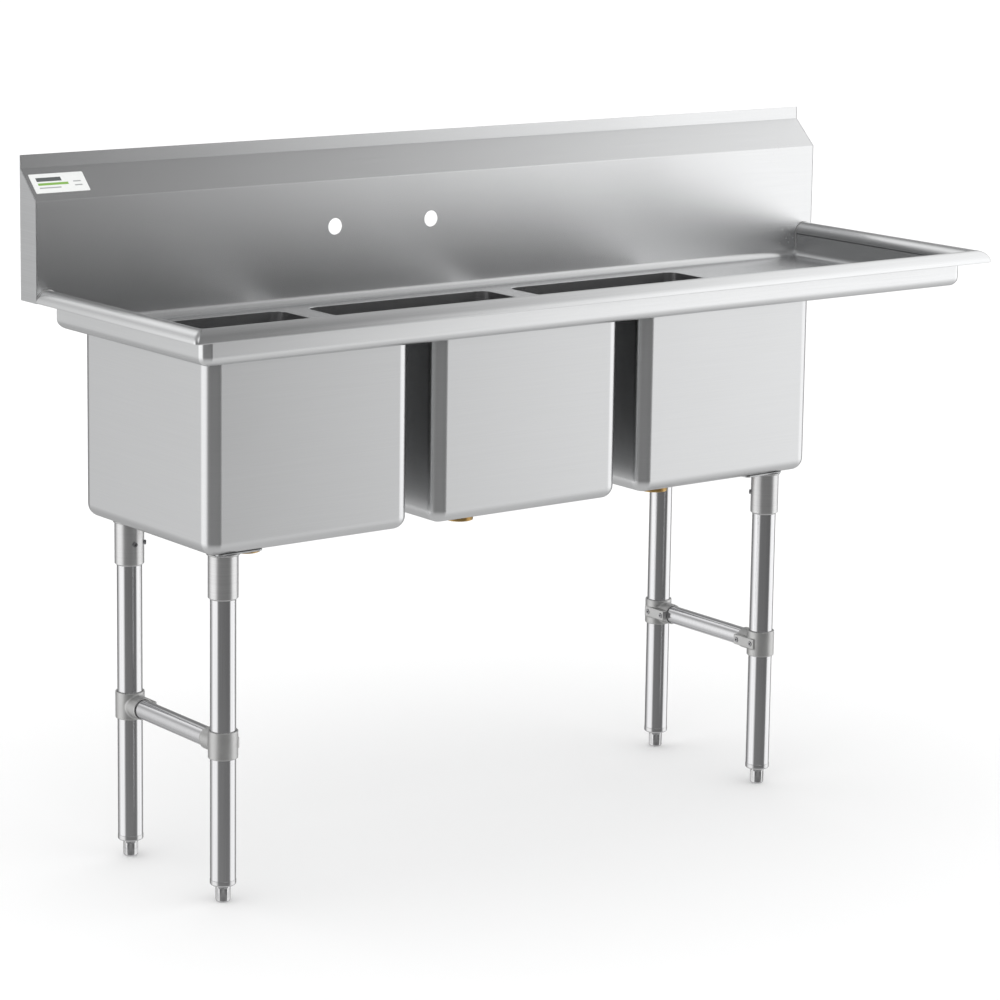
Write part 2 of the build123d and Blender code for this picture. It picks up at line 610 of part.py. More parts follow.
with BuildPart() as tee_screws:
    for side, end, x, y in LEGS:
        inward = INWARD[side]
        for along, start in ((0, TUBE_RADIUS), (FRONT_REAR[end] * BRACE_SCREW, BRACE_RADIUS)):
            with BuildSketch(tee_screw_plane(x, y + along, inward, start)):
                Circle(TEE_SCREW_RADIUS)
            extrude(amount=PAD_FACE + TEE_SCREW_OUT - start)
            with BuildSketch(tee_screw_plane(x, y + along, inward, PAD_FACE - SCREW_HEAD)):
                RegularPolygon(SCREW_HEX, 6)
            extrude(amount=SCREW_HEAD + TEE_SCREW_OUT, mode=Mode.SUBTRACT)
tee_screws.part.label = "brace_set_screws"
export_step(tee_screws.part, "parts/brace_set_screws.step")
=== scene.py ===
import json
from math import cos, pi, radians, sin

import bmesh
import bpy
from mathutils import Matrix, Vector


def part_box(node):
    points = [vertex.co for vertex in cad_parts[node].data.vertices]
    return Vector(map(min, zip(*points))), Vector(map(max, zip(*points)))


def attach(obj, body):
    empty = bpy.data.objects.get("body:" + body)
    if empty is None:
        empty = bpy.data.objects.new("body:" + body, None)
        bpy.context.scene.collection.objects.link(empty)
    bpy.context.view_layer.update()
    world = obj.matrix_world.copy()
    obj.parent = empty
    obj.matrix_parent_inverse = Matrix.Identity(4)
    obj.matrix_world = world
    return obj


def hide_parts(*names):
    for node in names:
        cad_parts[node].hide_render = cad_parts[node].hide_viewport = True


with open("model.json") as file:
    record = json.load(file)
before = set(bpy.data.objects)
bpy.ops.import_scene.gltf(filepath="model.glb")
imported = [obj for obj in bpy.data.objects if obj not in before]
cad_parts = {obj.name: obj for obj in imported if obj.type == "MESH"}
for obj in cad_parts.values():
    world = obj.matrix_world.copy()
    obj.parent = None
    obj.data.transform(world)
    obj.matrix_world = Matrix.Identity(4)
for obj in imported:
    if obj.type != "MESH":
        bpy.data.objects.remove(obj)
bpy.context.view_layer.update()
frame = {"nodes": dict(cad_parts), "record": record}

# Looks of the three compartment sink: satin stainless sheet, polished tubes, sand cast tees,
# turned feet, strainer drains, a plain label and a plain studio. Metres, in the CAD frame.

RECORD = frame["record"]
BODY_OF = {n: body for body, nodes in RECORD["behaviour"]["bodies"].items() for n in nodes}
SLOT_OF = {part["node"]: part["material_slot"] for part in RECORD["subparts"]}
BOWLS = ("left", "centre", "right")
LEGS = ("left_front", "left_rear", "right_front", "right_rear")
MM = 0.001


# ---------------------------------------------------------------- shader helpers
def new_material(name):
    """A node material with its tree and Principled shader."""
    made = bpy.data.materials.new(name)
    made.use_nodes = True
    return made, made.node_tree, made.node_tree.nodes["Principled BSDF"]


def plug(tree, value, socket):
    """Sets an input from a value, or links it to another node's output."""
    if isinstance(value, bpy.types.NodeSocket):
        tree.links.new(value, socket)
    else:
        socket.default_value = value


def add_node(tree, kind, settings=None, **inputs):
    """A shader node. Inputs are given by name, with _ for a space, as a value or a socket."""
    made = tree.nodes.new(kind)
    for key, value in (settings or {}).items():
        setattr(made, key, value)
    for key, value in inputs.items():
        plug(tree, value, made.inputs[key.replace("_", " ")])
    return made


def maths(tree, operation, first, second=0.0):
    """The result of one maths node on two values or sockets."""
    made = tree.nodes.new("ShaderNodeMath")
    made.operation = operation
    for socket, value in zip(made.inputs, (first, second)):
        plug(tree, value, socket)
    return made.outputs[0]


def weighted(tree, first, second, share):
    """Two values added: the first times its share and the second times the rest."""
    first = maths(tree, "MULTIPLY", first, share)
    second = maths(tree, "MULTIPLY", second, 1.0 - share)
    return maths(tree, "ADD", first, second)


def between(tree, value, least, most):
    """1 where a value lies between two limits, 0 elsewhere."""
    over = maths(tree, "GREATER_THAN", value, least)
    return maths(tree, "MULTIPLY", over, maths(tree, "LESS_THAN", value, most))


def spread(tree, value, low, high):
    """A 0 to 1 value mapped onto low to high."""
    made = add_node(tree, "ShaderNodeMapRange", None, Value=value, To_Min=low, To_Max=high)
    return made.outputs["Result"]


NOISE_TURN = (0.6, 0.4, 0.8)  # keeps the noise's own grid off the flat sheets
TINT_ENDS = (0.25, 0.75)  # noise values that give the darkest and the lightest tint


def noise(tree, place, scale, detail=1.5, rough=0.5):
    """Noise on object coordinates, in cycles per metre: one number, or one for each axis."""
    if not isinstance(scale, tuple):
        scale = (scale, scale, scale)
    mapped = add_node(
        tree, "ShaderNodeMapping", None, Vector=place, Scale=scale, Rotation=NOISE_TURN
    )
    made = add_node(
        tree, "ShaderNodeTexNoise", None,
        Vector=mapped.outputs["Vector"], Scale=1.0, Detail=detail, Roughness=rough,
    )
    return made.outputs["Fac"]


def tinted(tree, value, colour, low, high):
    """The colour made darker and lighter by a 0 to 1 value."""
    ramp = tree.nodes.new("ShaderNodeValToRGB")
    tree.links.new(value, ramp.inputs["Fac"])
    ends = ramp.color_ramp.elements
    ends[0].position, ends[1].position = TINT_ENDS
    ends[0].color = [c * low for c in colour] + [1.0]
    ends[1].color = [min(c * high, 1.0) for c in colour] + [1.0]
    return ramp.outputs["Color"]


def blend_colours(tree, share, first, second):
    """The first colour where the share is 0 and the second where it is 1."""
    made = add_node(tree, "ShaderNodeMix", {"data_type": "RGBA"})
    sockets = (made.inputs["Factor"], made.inputs[6], made.inputs[7])
    for socket, value in zip(sockets, (share, first, second)):
        plug(tree, value, socket)
    return made.outputs[2]


def object_place(tree):
    """Object coordinates."""
    return add_node(tree, "ShaderNodeTexCoord").outputs["Object"]


def emboss(tree, shader, height, strength, depth):
    """Relief from a 0 to 1 height, with its depth in metres."""
    relief = add_node(
        tree, "ShaderNodeBump", None, Strength=strength, Distance=depth, Height=height
    )
    tree.links.new(relief.outputs["Normal"], shader.inputs["Normal"])


# ---------------------------------------------------------------- materials
GRAIN = 800.0  # brush lines per metre, across the grain
GRAIN_ALONG = 7.0  # changes per metre, along a brush line
CLOUDS = 5.0  # slow changes of the polish, per metre
POLISH_SPECKS = 160.0  # fine changes of the polish, per metre
LINE_SHARE = 0.75  # of the brush lines in a tint; the rest is the clouds
LINE_ROUGHNESS = 0.03  # part of the roughness by which the lines change it
CLOUD_ROUGHNESS = (-0.02, 0.03)  # added to the roughness
SPECK_ROUGHNESS = (-0.01, 0.015)
LINE_DEPTH = 0.04 * MM
LINE_RELIEF = 0.012  # strength of the lines' relief
LEVEL_FACE = 0.7  # upward part of the normal above which a face is a flat, not a wall
TANGENT_LIFT = (0.02, 0.0, 0.0)  # keeps the tangent off zero on flats


def level_tangent(tree):
    """The level direction in the surface: along X on flats, along the brush lines on walls."""
    normal = add_node(tree, "ShaderNodeNewGeometry").outputs["Normal"]
    level = tree.nodes.new("ShaderNodeVectorMath")
    level.operation = "CROSS_PRODUCT"
    tree.links.new(normal, level.inputs[0])
    level.inputs[1].default_value = (0.0, 0.0, 1.0)
    lifted = tree.nodes.new("ShaderNodeVectorMath")
    lifted.operation = "ADD"
    tree.links.new(level.outputs["Vector"], lifted.inputs[0])
    lifted.inputs[1].default_value = TANGENT_LIFT
    return lifted.outputs["Vector"]


def brushed(name, colour, rough, grain, anisotropic, along="x"):
    """Satin metal: fine lines along the sheet, slow clouds in the polish and a faint relief.

    along "x" runs the lines along the length on walls and flats; "z" runs them up a tube;
    "round" runs them round a turned part.
    """
    made, tree, shader = new_material(name)
    place = object_place(tree)
    if along == "z":
        lines = noise(tree, place, (GRAIN, GRAIN, GRAIN_ALONG))
    else:
        lines = noise(tree, place, (GRAIN_ALONG, GRAIN_ALONG, GRAIN))
    if along == "x":
        flats = noise(tree, place, (GRAIN_ALONG, GRAIN, GRAIN_ALONG))
        normal = add_node(tree, "ShaderNodeNewGeometry").outputs["Normal"]
        upward = add_node(tree, "ShaderNodeSeparateXYZ", None, Vector=normal).outputs["Z"]
        level = maths(tree, "GREATER_THAN", maths(tree, "ABSOLUTE", upward), LEVEL_FACE)
        mixed = add_node(tree, "ShaderNodeMix", None, Factor=level, A=lines, B=flats)
        lines = mixed.outputs["Result"]
    clouds = noise(tree, place, CLOUDS, 4.0)
    specks = noise(tree, place, POLISH_SPECKS, 2.0)
    tint = tinted(tree, weighted(tree, lines, clouds, LINE_SHARE), colour, 1.0 - grain, 1.0 + grain)
    tree.links.new(tint, shader.inputs["Base Color"])
    polish = spread(tree, lines, rough * (1.0 - LINE_ROUGHNESS), rough * (1.0 + LINE_ROUGHNESS))
    polish = maths(tree, "ADD", polish, spread(tree, clouds, *CLOUD_ROUGHNESS))
    polish = maths(tree, "ADD", polish, spread(tree, specks, *SPECK_ROUGHNESS))
    tree.links.new(polish, shader.inputs["Roughness"])
    emboss(tree, shader, lines, LINE_RELIEF, LINE_DEPTH)
    shader.inputs["Metallic"].default_value = 1.0
    if anisotropic:
        shader.inputs["Anisotropic"].default_value = anisotropic
        shader.inputs["Anisotropic Rotation"].default_value = 0.25
        tree.links.new(level_tangent(tree), shader.inputs["Tangent"])
    return made


PIT_SHARE = 0.6  # of the pits in a cast skin's tint; the rest is the clouds
CAST_CLOUDS = 45.0  # per metre
CAST_ROUGHNESS = 0.1  # by which a cast skin's roughness goes up and down
CAST_RELIEF = 0.5


def cast_metal(name, colour, rough, grain, size, depth):
    """Sand cast or die cast metal with a pitted skin: pits per metre, and their depth."""
    made, tree, shader = new_material(name)
    place = object_place(tree)
    pits = noise(tree, place, size, 5.0, 0.65)
    clouds = noise(tree, place, CAST_CLOUDS, 3.0)
    both = weighted(tree, pits, clouds, PIT_SHARE)
    tint = tinted(tree, both, colour, 1.0 - grain, 1.0 + grain)
    tree.links.new(tint, shader.inputs["Base Color"])
    skin_roughness = spread(tree, both, rough - CAST_ROUGHNESS, rough + CAST_ROUGHNESS)
    tree.links.new(skin_roughness, shader.inputs["Roughness"])
    emboss(tree, shader, pits, CAST_RELIEF, depth)
    shader.inputs["Metallic"].default_value = 1.0
    return made


def rubber_material(name, colour):
    """Moulded rubber, matt and a little dusty."""
    made, tree, shader = new_material(name)
    place = object_place(tree)
    fine = noise(tree, place, 900.0, 3.0)
    dust = noise(tree, place, 60.0, 4.0)
    tree.links.new(tinted(tree, dust, colour, 0.7, 1.5), shader.inputs["Base Color"])
    tree.links.new(spread(tree, dust, 0.55, 0.8), shader.inputs["Roughness"])
    emboss(tree, shader, fine, 0.3, 0.1 * MM)
    return made


DARK_INK = (0.10, 0.11, 0.11, 1.0)
GREEN_INK = (0.22, 0.42, 0.08, 1.0)
GREY_INK = (0.35, 0.36, 0.36, 1.0)
LABEL_MARKS = (  # left, right, bottom and top as shares of the label, ink
    ((0.10, 0.56, 0.60, 0.80), DARK_INK),
    ((0.10, 0.66, 0.40, 0.52), GREEN_INK),
    ((0.10, 0.50, 0.24, 0.30), GREY_INK),
    ((0.76, 0.90, 0.30, 0.36), GREY_INK),
    ((0.76, 0.90, 0.50, 0.56), GREY_INK),
)


def label_material(name, low, high):
    """Printed film: a pale ground with a dark bar, a green bar and three grey rules."""
    made, tree, shader = new_material(name)
    place = object_place(tree)
    split = add_node(tree, "ShaderNodeSeparateXYZ", None, Vector=place)
    along = maths(tree, "SUBTRACT", split.outputs["X"], low.x)
    along = maths(tree, "DIVIDE", along, high.x - low.x)
    up = maths(tree, "SUBTRACT", split.outputs["Z"], low.z)
    up = maths(tree, "DIVIDE", up, high.z - low.z)
    colour = tinted(tree, noise(tree, place, 300.0), (0.80, 0.81, 0.80), 0.97, 1.0)
    for (left, right, bottom, top), ink in LABEL_MARKS:
        inside = between(tree, along, left, right)
        inside = maths(tree, "MULTIPLY", inside, between(tree, up, bottom, top))
        colour = blend_colours(tree, inside, colour, ink)
    tree.links.new(colour, shader.inputs["Base Color"])
    film = noise(tree, place, 40.0, 2.0)
    tree.links.new(spread(tree, film, 0.25, 0.38), shader.inputs["Roughness"])
    emboss(tree, shader, film, 0.1, 0.1 * MM)
    return made


# brushed: colour, roughness, change of tint, anisotropy
# cast_metal: colour, roughness, change of tint, pits per metre, depth of the pits
MATERIALS = {
    "sheet_steel": brushed("sheet_steel", (0.67, 0.675, 0.68), 0.25, 0.03, 0.85),
    "bowl_steel": brushed("bowl_steel", (0.62, 0.625, 0.63), 0.31, 0.025, 0.5),
    # painted shade: a darker copy of the bowl steel for the bowls' inside faces, standing in for
    # the shade inside the bowls
    "bowl_inside_painted_shade": brushed("bowl_inside_painted_shade", (0.52, 0.52, 0.525), 0.24, 0.03, 0.5),
    "bracket_steel": brushed("bracket_steel", (0.50, 0.505, 0.51), 0.38, 0.08, 0.0),
    "socket_steel": brushed("socket_steel", (0.60, 0.60, 0.60), 0.33, 0.08, 0.0, along="round"),
    "tube_steel": brushed("tube_steel", (0.62, 0.62, 0.63), 0.16, 0.06, 0.0, along="z"),
    "cast_alloy": cast_metal("cast_alloy", (0.52, 0.52, 0.515), 0.46, 0.16, 900.0, 0.0003),
    "screw_steel": brushed("screw_steel", (0.34, 0.34, 0.35), 0.30, 0.12, 0.0, along="round"),
    "foot_steel": brushed("foot_steel", (0.58, 0.58, 0.585), 0.22, 0.07, 0.0, along="round"),
    "drain_steel": brushed("drain_steel", (0.64, 0.64, 0.65), 0.20, 0.05, 0.0, along="round"),
    "zinc": cast_metal("zinc", (0.50, 0.51, 0.52), 0.42, 0.12, 700.0, 0.00015),
    "brass": cast_metal("brass", (0.62, 0.42, 0.17), 0.30, 0.18, 500.0, 0.00005),
    "rubber": rubber_material("rubber", (0.035, 0.035, 0.036)),
    "label": label_material("label", *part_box("rating_label")),
    "weld": cast_metal("weld", (0.50, 0.50, 0.50), 0.33, 0.12, 500.0, 0.0001),
}


# ---------------------------------------------------------------- mesh helpers
JOIN_DISTANCE = 0.01 * MM
FLAT_ANGLE = 0.4  # degrees between faces that count as one flat
SHARP_ANGLE = 35.0  # degrees from which an edge is rounded
TURNED_STEPS = 72
RING_STEPS = 48
BEAD_RIPPLE = 0.12
BEAD_PITCH = 2.2 * MM
BEAD_SIDES = 8


def finish_piece(obj, node, material=None, stands_for=()):
    """Gives a piece its material and says which body it rides on and what it stands for."""
    slot = SLOT_OF[node]
    obj.data.materials.clear()
    obj.data.materials.append(MATERIALS[material or slot])
    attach(obj, BODY_OF[node])
    if stands_for:
        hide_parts(*stands_for)
    return obj


def mesh_piece(name, bm):
    """An object from a bmesh, shaded smooth."""
    mesh = bpy.data.meshes.new(name)
    bmesh.ops.recalc_face_normals(bm, faces=bm.faces)
    bm.to_mesh(mesh)
    bm.free()
    for face in mesh.polygons:
        face.use_smooth = True
    obj = bpy.data.objects.new(name, mesh)
    bpy.context.scene.collection.objects.link(obj)
    return obj


def skin(bm, rows, closed_rows, closed_loop):
    """Quads between rows of vertices. closed_rows joins the last row to the first."""
    count = len(rows[0])
    spans = len(rows) if closed_rows else len(rows) - 1
    steps = count if closed_loop else count - 1
    for i in range(spans):
        row, other = rows[i], rows[(i + 1) % len(rows)]
        for j in range(steps):
            k = (j + 1) % count
            bm.faces.new((row[j], row[k], other[k], other[j]))


def soft_edges(obj, width, angle):
    """Small rounds on sharp edges, with flat faces kept flat."""
    bevel = obj.modifiers.new("rounds", "BEVEL")
    bevel.width = width
    bevel.segments = 2
    bevel.limit_method = "ANGLE"
    bevel.angle_limit = radians(angle)
    normals = obj.modifiers.new("normals", "WEIGHTED_NORMAL")
    normals.keep_sharp = False
    normals.weight = 80


def joined_copy(node):
    """A CAD node's mesh with its doubled points joined."""
    bm = bmesh.new()
    bm.from_mesh(frame["nodes"][node].data)
    bmesh.ops.remove_doubles(bm, verts=bm.verts, dist=JOIN_DISTANCE)
    return bm


def refined(node, name, width, angle=SHARP_ANGLE, material=None):
    """A copy of a CAD node's mesh with joined points, merged flats and rounded edges."""
    bm = joined_copy(node)
    bmesh.ops.dissolve_limit(
        bm, angle_limit=radians(FLAT_ANGLE), use_dissolve_boundaries=False,
        verts=bm.verts, edges=bm.edges,
    )
    obj = mesh_piece(name, bm)
    soft_edges(obj, width, angle)
    return finish_piece(obj, node, material=material, stands_for=(node,))


def turned(name, rings, centre, hollow=False):
    """A turned piece from (z, radius) or (z, function of the angle) rings, bottom to top."""
    bm = bmesh.new()
    rows = []
    for z, radius in rings:
        row = []
        for i in range(TURNED_STEPS):
            turn = 2 * pi * i / TURNED_STEPS
            r = radius(turn) if callable(radius) else radius
            row.append(bm.verts.new((centre.x + r * cos(turn), centre.y + r * sin(turn), z)))
        rows.append(row)
    skin(bm, rows, hollow, True)
    if not hollow:
        bm.faces.new(rows[0])
        bm.faces.new(list(reversed(rows[-1])))
    return mesh_piece(name, bm)


def bead(name, points, radius, node, closed=False):
    """A weld bead along a line of points: a round section whose size ripples along it."""
    line = [Vector(p) for p in points]
    if closed:
        line.append(line[0].copy())
    fine = [line[0]]
    for a, b in zip(line, line[1:]):
        steps = max(1, round((b - a).length / (BEAD_PITCH / 3)))
        fine += [a.lerp(b, (i + 1) / steps) for i in range(steps)]
    if closed:
        fine.pop()
    bm = bmesh.new()
    rows = []
    travelled = 0.0
    for i, point in enumerate(fine):
        ahead = fine[(i + 1) % len(fine)] if closed or i + 1 < len(fine) else point
        behind = fine[i - 1] if closed or i else point
        along = (ahead - behind).normalized()
        upright = abs(along.z) > 0.99
        across = (along.orthogonal() if upright else along.cross(Vector((0, 0, 1)))).normalized()
        up = across.cross(along)
        if i:
            travelled += (point - fine[i - 1]).length
        phase = (travelled / BEAD_PITCH) % 1.0
        size = radius * (1.0 - BEAD_RIPPLE * (2 * phase - 1) ** 2)
        turns = [2 * pi * k / BEAD_SIDES for k in range(BEAD_SIDES)]
        rows.append([bm.verts.new(point + (across * cos(t) + up * sin(t)) * size) for t in turns])
    skin(bm, rows, closed, True)
    if not closed:
        bm.faces.new(rows[0])
        bm.faces.new(list(reversed(rows[-1])))
    return finish_piece(mesh_piece(name, bm), node, material="weld")


def circle(centre, radius, z):
    """Points round a level circle."""
    turns = [2 * pi * i / RING_STEPS for i in range(RING_STEPS)]
    return [Vector((centre.x + radius * cos(t), centre.y + radius * sin(t), z)) for t in turns]


def middle(node):
    """The middle of a node's box."""
    low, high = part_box(node)
    return (low + high) / 2


# ---------------------------------------------------------------- rolled rim
ROLL_RADIUS = 19.8 * MM
SHEET = 1.5 * MM
ROLL_STEPS = 28
CORNER_STEPS = 8
MITRE_ROUND = 7.0 * MM
INNER_ROUND = 15.0 * MM
HEM_FLATNESS = 0.9
rim_low, rim_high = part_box("rolled_rim")
roll_z = rim_high.z - ROLL_RADIUS


def roll_section():
    """Closed section of the roll as (distance out from its middle, height)."""
    turns = [pi * i / ROLL_STEPS for i in range(ROLL_STEPS + 1)]
    inside = ROLL_RADIUS - SHEET
    outer = [(ROLL_RADIUS * cos(t), ROLL_RADIUS * sin(t)) for t in turns]
    inner = [(inside * cos(t), inside * sin(t)) for t in turns]
    lip = rim_low.z - roll_z
    hem = SHEET / 2
    hem_turns = [pi * k / 4 for k in (3, 2, 1)]
    edge = [(ROLL_RADIUS - hem * (1 - cos(t)), -hem * sin(t) * HEM_FLATNESS) for t in hem_turns]
    return outer + [(-ROLL_RADIUS, lip), (-inside, lip)] + list(reversed(inner)) + edge


def rim_path(out):
    """Plan of the rim at a distance out from the roll's middle, with rounded mitres."""
    left = rim_low.x + ROLL_RADIUS - out
    right = rim_high.x - ROLL_RADIUS + out
    front = rim_low.y + ROLL_RADIUS - out
    bend = MITRE_ROUND + (INNER_ROUND - MITRE_ROUND) * max(0.0, -out / ROLL_RADIUS) ** 2
    points = [(left, rim_high.y)]
    for x, start in ((left + bend, pi), (right - bend, 1.5 * pi)):
        for i in range(CORNER_STEPS + 1):
            turn = start + pi / 2 * i / CORNER_STEPS
            points.append((x + bend * cos(turn), front + bend + bend * sin(turn)))
    points.append((right, rim_high.y))
    return points


rim = bmesh.new()
rim_rows = []
for out, height in roll_section():
    rim_rows.append([rim.verts.new((x, y, roll_z + height)) for x, y in rim_path(out)])
skin(rim, rim_rows, True, False)
for end in (0, -1):  # sharp edges here keep the roll's shading straight up to its ends
    closing = rim.faces.new([row[end] for row in rim_rows])
    for edge in closing.edges:
        edge.smooth = False
finish_piece(mesh_piece("rim_roll", rim), "rolled_rim", stands_for=("rolled_rim",))

# ---------------------------------------------------------------- sheet parts
refined("deck_and_backsplash", "deck_sheet", 0.5 * MM, angle=40)
for side in ("left", "right"):
    refined(f"end_cap_{side}", f"splash_end_{side}", 0.5 * MM, material="bracket_steel")
refined("drainboard_channel", "drainboard_stiffener", 0.6 * MM)
refined("rating_label", "label_film", 0.12 * MM)
for name in BOWLS:
    shell = refined(f"bowl_{name}", f"bowl_shell_{name}", 0.4 * MM, angle=45)
    # The inside faces take the darker bowl steel: painted shade inside the bowls, not a different
    # finish.
    shell.data.materials.append(MATERIALS["bowl_inside_painted_shade"])
    heart = middle(f"bowl_{name}")
    for face in shell.data.polygons:
        if face.normal.dot(heart - face.center) > 0:
            face.material_index = 1
for name in LEGS:
    refined(f"leg_plate_{name}", f"plate_{name}", 0.5 * MM)
    refined(f"leg_socket_{name}", f"socket_{name}", 0.5 * MM)
    refined(f"leg_{name}", f"tube_{name}", 0.3 * MM)
    refined(f"foot_insert_{name}", f"insert_{name}", 0.5 * MM)
for side in ("left", "right"):
    refined(f"brace_{side}", f"brace_tube_{side}", 0.3 * MM)
for node in ("socket_set_screws", "brace_set_screws"):
    refined(node, node.replace("set_screws", "grub_screws"), 0.35 * MM)
for name in BOWLS:
    refined(f"drain_body_{name}", f"strainer_body_{name}", 0.3 * MM)
    refined(f"drain_gasket_{name}", f"washer_{name}", 0.4 * MM)
    refined(f"drain_lock_nut_{name}", f"lock_nut_{name}", 0.9 * MM)
    refined(f"basket_strainer_{name}", f"basket_{name}", 0.25 * MM)
    refined(f"basket_stopper_{name}", f"stopper_{name}", 0.5 * MM)

# ---------------------------------------------------------------- cast tees
CAST_VOXEL = 0.9 * MM
for name in LEGS:
    node = f"brace_tee_{name}"
    tee = mesh_piece(f"tee_{name}", joined_copy(node))
    remesh = tee.modifiers.new("skin", "REMESH")
    remesh.mode = "VOXEL"
    remesh.voxel_size = CAST_VOXEL
    remesh.use_smooth_shade = True
    smooth = tee.modifiers.new("melt", "SMOOTH")
    smooth.factor = 0.5
    smooth.iterations = 6
    finish_piece(tee, node, stands_for=(node,))

# ---------------------------------------------------------------- feet
STUD_RADIUS = 7.8 * MM
STUD_PITCH = 2.0 * MM
STUD_DEPTH = 1.0 * MM
FOOT_GAP = 0.4 * MM  # between the foot and its insert
HEXAGON_FLAT = 0.90  # half width across the flats, as a share of the foot's radius
TIP_ENDS = (0.62, 0.70)  # shares of the foot's radius, on the floor
TIP_STEPS = 8
TIP_HEIGHT = 4.0 * MM
TIP_SHARE, TIP_GROWTH = 0.78, 0.20  # of its radius: where the round starts, and added by its end
HEXAGON_START = 12.0 * MM  # above the floor
SHOULDER = (  # height below the foot's top, share of the flats and of the corners, how hexagonal
    (5.0 * MM, 1.0, 1.0, 1.0),
    (4.2 * MM, 0.97, 0.96, 0.6),
    (4.0 * MM, 0.93, 0.90, 0.0),
)
COLLAR = ((0.4 * MM, 0.88), (0.0, 0.84))  # height below the foot's top, share of its radius
THREAD_STEPS = 6  # rings for each turn of a thread


def thread(z, radius, pitch, depth):
    """Radius of a thread at a height, as a function of the angle, with flat crests and roots."""
    def radius_at(turn):
        phase = (z / pitch - turn / (2 * pi)) % 1.0
        return radius - depth * min(1.0, max(0.0, abs(2 * phase - 1) * 1.5 - 0.25))
    return radius_at


def thread_rings(start, stop, radius, pitch, depth):
    """Rings of a thread from one height up to another."""
    rings = []
    z = start
    while z < stop:
        rings.append((z, thread(z, radius, pitch, depth)))
        z += pitch / THREAD_STEPS
    return rings


def hexagon(flat, corner, share):
    """Radius of a hexagon's side with rounded corners, blended with a circle."""
    def radius_at(turn):
        around = (turn + pi / 6) % (pi / 3) - pi / 6
        return share * min(flat / cos(around), corner) + (1 - share) * corner
    return radius_at


for name in LEGS:
    node = f"bullet_foot_{name}"
    low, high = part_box(node)
    centre = (low + high) / 2
    body_radius = (high.x - low.x) / 2
    foot_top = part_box(f"foot_insert_{name}")[0].z - FOOT_GAP
    flat = body_radius * HEXAGON_FLAT
    rings = [(low.z, body_radius * share) for share in TIP_ENDS]
    for i in range(1, TIP_STEPS + 1):
        turn = pi / 2 * i / TIP_STEPS
        size = TIP_SHARE + TIP_GROWTH * sin(turn)
        side = hexagon(flat * size, body_radius * size, i / TIP_STEPS)
        rings.append((low.z + TIP_HEIGHT * (1 - cos(turn)), side))
    rings.append((low.z + HEXAGON_START, hexagon(flat, body_radius, 1.0)))
    for drop, flats, corners, share in SHOULDER:
        rings.append((foot_top - drop, hexagon(flat * flats, body_radius * corners, share)))
    for drop, share in COLLAR:
        rings.append((foot_top - drop, body_radius * share))
    rings.append((foot_top, STUD_RADIUS))
    rings += thread_rings(
        foot_top + 0.3 * MM, high.z - 1.2 * MM, STUD_RADIUS, STUD_PITCH, STUD_DEPTH
    )
    rings.append((high.z, STUD_RADIUS - 1.4 * MM))
    obj = turned(f"foot_{name}", rings, centre)
    finish_piece(obj, node, stands_for=(node,))

# ---------------------------------------------------------------- brass outlets
OUTLET_WALL = 4.9 * MM
OUTLET_PITCH = 2.2 * MM
OUTLET_DEPTH = 1.1 * MM
for name in BOWLS:
    node = f"drain_outlet_{name}"
    low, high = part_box(node)
    centre = (low + high) / 2
    outer = (high.x - low.x) / 2
    bore = outer - OUTLET_WALL
    rings = [(low.z, bore), (low.z, outer - 1.2 * MM)]
    rings += thread_rings(
        low.z + 0.5 * MM, high.z - 2.4 * MM, outer, OUTLET_PITCH, OUTLET_DEPTH
    )
    rings += [(high.z - 2.2 * MM, outer), (high.z - 0.3 * MM, outer)]
    rings += [(high.z, outer - 0.4 * MM), (high.z, bore)]
    obj = turned(f"outlet_{name}", rings, centre, hollow=True)
    finish_piece(obj, node, stands_for=(node,))

# ---------------------------------------------------------------- welds
DECK_FLOOR = 876.3 * MM
COVE = 14.0 * MM
RIM_BEAD = 1.5 * MM
RIM_BEAD_Y = rim_high.y - 0.9 * MM
RIM_BEAD_STEPS = 16  # over the roll; the first two are left out, to stay inside its edge
SOCKET_BEAD = 1.9 * MM
for side, inner in (("left", 1), ("right", -1)):
    x = rim_low.x + ROLL_RADIUS if side == "left" else rim_high.x - ROLL_RADIUS
    turns = [pi * i / RIM_BEAD_STEPS for i in range(2, RIM_BEAD_STEPS + 1)]
    line = [(x - inner * ROLL_RADIUS * cos(t), roll_z + ROLL_RADIUS * sin(t)) for t in turns]
    foot = DECK_FLOOR + COVE
    line += [(x + inner * ROLL_RADIUS, z) for z in ((roll_z + foot) / 2, foot)]
    points = [(across, RIM_BEAD_Y, z) for across, z in line]
    bead(f"weld_rim_{side}", points, RIM_BEAD, "rolled_rim")
for name in LEGS:
    low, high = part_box(f"leg_socket_{name}")
    ring = circle((low + high) / 2, (high.x - low.x) / 2 + 0.6 * MM, high.z - 0.8 * MM)
    bead(f"weld_socket_{name}", ring, SOCKET_BEAD, f"leg_plate_{name}", closed=True)

# ---------------------------------------------------------------- studio
FLOOR_REACH = 60.0  # metres from the middle to an edge
floor_mesh = bmesh.new()
bmesh.ops.create_grid(floor_mesh, x_segments=8, y_segments=8, size=FLOOR_REACH)
studio_floor = mesh_piece("studio_floor", floor_mesh)
floor_material, floor_tree, floor_shader = new_material("studio_floor")
floor_tone = noise(floor_tree, object_place(floor_tree), 0.7, 2.0)
floor_colour = tinted(floor_tree, floor_tone, (0.90, 0.90, 0.90), 0.995, 1.0)
floor_tree.links.new(floor_colour, floor_shader.inputs["Base Color"])
floor_shader.inputs["Roughness"].default_value = 0.9
floor_shader.inputs["Specular IOR Level"].default_value = 0.1
studio_floor.data.materials.append(floor_material)
studio_floor.visible_glossy = False

